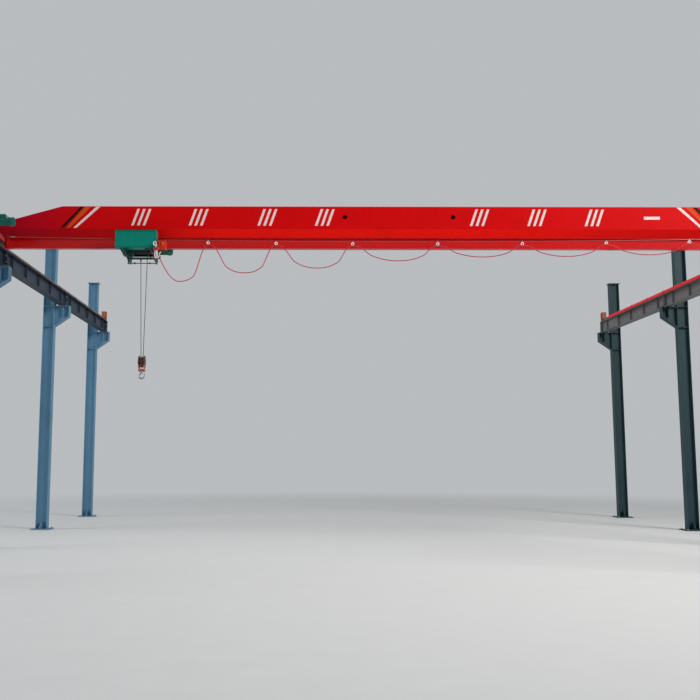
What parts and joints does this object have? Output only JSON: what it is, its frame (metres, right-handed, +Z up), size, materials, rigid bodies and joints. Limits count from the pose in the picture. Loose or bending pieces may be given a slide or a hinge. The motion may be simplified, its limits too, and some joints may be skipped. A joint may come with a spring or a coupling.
{
  "type": "overhead bridge crane",
  "caption": "Single girder overhead bridge crane on a free-standing column runway, with an underslung wire rope hoist, festoon cable and hook.",
  "frame": {"origin": "on the floor, midway between the two runways and midway along them", "axes": "+X along the bridge girder to the right as pictured, +Y along the runway away from the camera, +Z up"},
  "size_m": [17.66, 15.5, 7.6],
  "materials": {
    "column_paint": "satin, worn",
    "runway_paint": "satin, dusty",
    "rail_steel": "rusty sides, worn bright top",
    "conductor_red": "semi-gloss",
    "bracket_steel": "satin",
    "girder_red": "gloss",
    "track_red": "gloss, bare where the wheels run",
    "carriage_red": "gloss",
    "wheel_steel": "worn",
    "drive_green": "gloss",
    "buffer_rubber": "matt",
    "collector_dark": "matt",
    "wire_steel": "dull",
    "hanger_white": "matt",
    "cable_red": "matt",
    "hoist_green": "gloss",
    "box_green": "gloss",
    "rope_steel": "greasy",
    "drum_steel": "greasy",
    "stop_orange": "satin, dusty",
    "alarm_orange": "gloss",
    "arm_grey": "satin",
    "block_red": "worn",
    "sheave_orange": "worn",
    "hook_steel": "worn",
    "latch_steel": "dull"
  },
  "bodies": {
    "runway": {"columns_left": "column_paint", "columns_right": "column_paint", "runway_beam_left": "runway_paint", "runway_beam_right": "runway_paint", "end_stops": "stop_orange", "rail_left": "rail_steel", "rail_right": "rail_steel", "conductor_rail": "conductor_red", "conductor_brackets": "bracket_steel"},
    "bridge": {"girder_box": "girder_red", "girder_track": "track_red", "end_carriage_left": "carriage_red", "end_carriage_right": "carriage_red", "wheels_left": "wheel_steel", "wheels_right": "wheel_steel", "travel_gearbox_left": "drive_green", "travel_gearbox_right": "drive_green", "travel_motor_left": "drive_green", "travel_motor_right": "drive_green", "carriage_buffers": "buffer_rubber", "current_collector": "collector_dark", "festoon_wire": "wire_steel", "festoon_cable": "cable_red", "festoon_hangers": "hanger_white"},
    "trolley": {"trolley_plates": "hoist_green", "trolley_wheels": "wheel_steel", "trolley_motor": "drive_green", "hoist_frames": "hoist_green", "drum_casing": "hoist_green", "rope_drum": "drum_steel", "hoist_motor": "drive_green", "hoist_gear_case": "drive_green", "rope_anchor": "arm_grey", "limit_rod": "arm_grey", "control_box": "box_green", "junction_box": "alarm_orange", "tow_arm": "arm_grey", "hoist_ropes": "rope_steel"},
    "hook_block": {"block_housing": "block_red", "block_sheave": "sheave_orange"},
    "hook_swivel": {"hook": "hook_steel", "hook_latch": "latch_steel"}
  },
  "joints": [
    {"name": "bridge_travel", "type": "slide", "parent": "runway", "child": "bridge", "axis": [0, 1, 0], "range_m": [-2.27, 9.67]},
    {"name": "trolley_travel", "type": "slide", "parent": "bridge", "child": "trolley", "axis": [1, 0, 0], "range_m": [-2.42, 11.4], "deforming": ["festoon_cable", "festoon_hangers"]},
    {"name": "hook_lift", "type": "slide", "parent": "trolley", "child": "hook_block", "axis": [0, 0, 1], "range_m": [-3.3, 1.45], "deforming": ["hoist_ropes"]},
    {"name": "hook_turn", "type": "hinge", "parent": "hook_block", "child": "hook_swivel", "pos_m": [-4.935, -3.7, 3.6], "axis": [0, 0, 1], "continuous": true}
  ]
}
